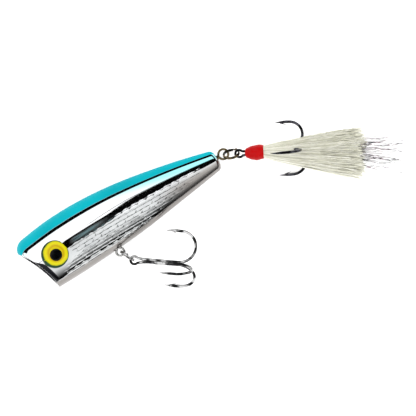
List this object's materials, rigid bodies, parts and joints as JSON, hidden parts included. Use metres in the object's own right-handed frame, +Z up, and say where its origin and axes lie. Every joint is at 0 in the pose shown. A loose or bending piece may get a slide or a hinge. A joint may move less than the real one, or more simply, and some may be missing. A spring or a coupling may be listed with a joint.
{
  "type": "topwater popper",
  "caption": "Topwater fishing lure with a cupped mouth, metallised flanks, domed eyes and treble hooks on split rings, the rear hook dressed with hair and flash.",
  "frame": {"origin": "on the table under the middle of the lure's box, the lure lying on its right flank", "axes": "+X from the mouth towards the tail, +Y from the belly towards the back, +Z up from the table, out of the left flank"},
  "size_m": [0.1114, 0.0398, 0.0173],
  "materials": {
    "plated_abs": "vacuum-metallised ABS, turquoise lacquer on the back",
    "eye_enamel": "moulded dome in yellow enamel, clear coat",
    "pupil_enamel": "gloss black enamel",
    "stainless_wire": "bright drawn stainless wire",
    "black_nickel": "black-nickel plating",
    "bright_nickel": "bright nickel plating",
    "plain_steel": "plain turned steel",
    "bearing_steel": "polished ball",
    "red_thread": "lacquered thread",
    "white_hair": "bleached bucktail hair",
    "pearl_tinsel": "pearl flash film"
  },
  "bodies": {
    "lure_body": {"left_shell": "plated_abs", "right_shell": "plated_abs", "left_eye": "eye_enamel", "right_eye": "eye_enamel", "left_pupil": "pupil_enamel", "right_pupil": "pupil_enamel", "line_tie": "stainless_wire", "belly_hanger": "stainless_wire", "tail_hanger": "black_nickel", "tail_weight": "plain_steel"},
    "belly_ring": {"belly_split_ring": "bright_nickel"},
    "belly_hook": {"belly_treble_double": "bright_nickel", "belly_treble_single": "bright_nickel"},
    "tail_ring": {"tail_split_ring": "black_nickel"},
    "tail_hook": {"tail_treble_double": "black_nickel", "tail_treble_single": "black_nickel", "thread_wrap": "red_thread", "hair_skirt": "white_hair", "flash_strands": "pearl_tinsel"},
    "rattle_1": {"rattle_ball_1": "bearing_steel"},
    "rattle_2": {"rattle_ball_2": "bearing_steel"},
    "rattle_3": {"rattle_ball_3": "bearing_steel"}
  },
  "joints": [
    {"name": "belly_ring_swing", "type": "hinge", "parent": "lure_body", "child": "belly_ring", "pos_m": [-0.02956, 0.0001, 0.00632], "axis": [-0.8786, -0.4695, 0.0877], "range_deg": [-60, 60]},
    {"name": "belly_hook_swing", "type": "hinge", "parent": "belly_ring", "child": "belly_hook", "pos_m": [-0.02787, -0.00306, 0.00631], "axis": [-0.0837, 0.0597, 0.9947], "range_deg": [-100, 8]},
    {"name": "tail_ring_swing", "type": "hinge", "parent": "lure_body", "child": "tail_ring", "pos_m": [0.00991, 0.00991, 0.00242], "axis": [-0.4534, -0.4049, 0.794], "range_deg": [-45, 60]},
    {"name": "tail_hook_swing", "type": "hinge", "parent": "tail_ring", "child": "tail_hook", "pos_m": [0.01383, 0.00772, 0.00354], "axis": [-0.3159, -0.2973, 0.901], "range_deg": [-70, 70]},
    {"name": "rattle_slide_1", "type": "slide", "parent": "lure_body", "child": "rattle_1", "axis": [0.9951, 0, -0.0993], "range_m": [-0.0017, 0]},
    {"name": "rattle_slide_2", "type": "slide", "parent": "lure_body", "child": "rattle_2", "axis": [0.9951, 0, -0.0993], "range_m": [-0.0017, 0]},
    {"name": "rattle_slide_3", "type": "slide", "parent": "lure_body", "child": "rattle_3", "axis": [0.9951, 0, -0.0993], "range_m": [-0.0017, 0]}
  ]
}
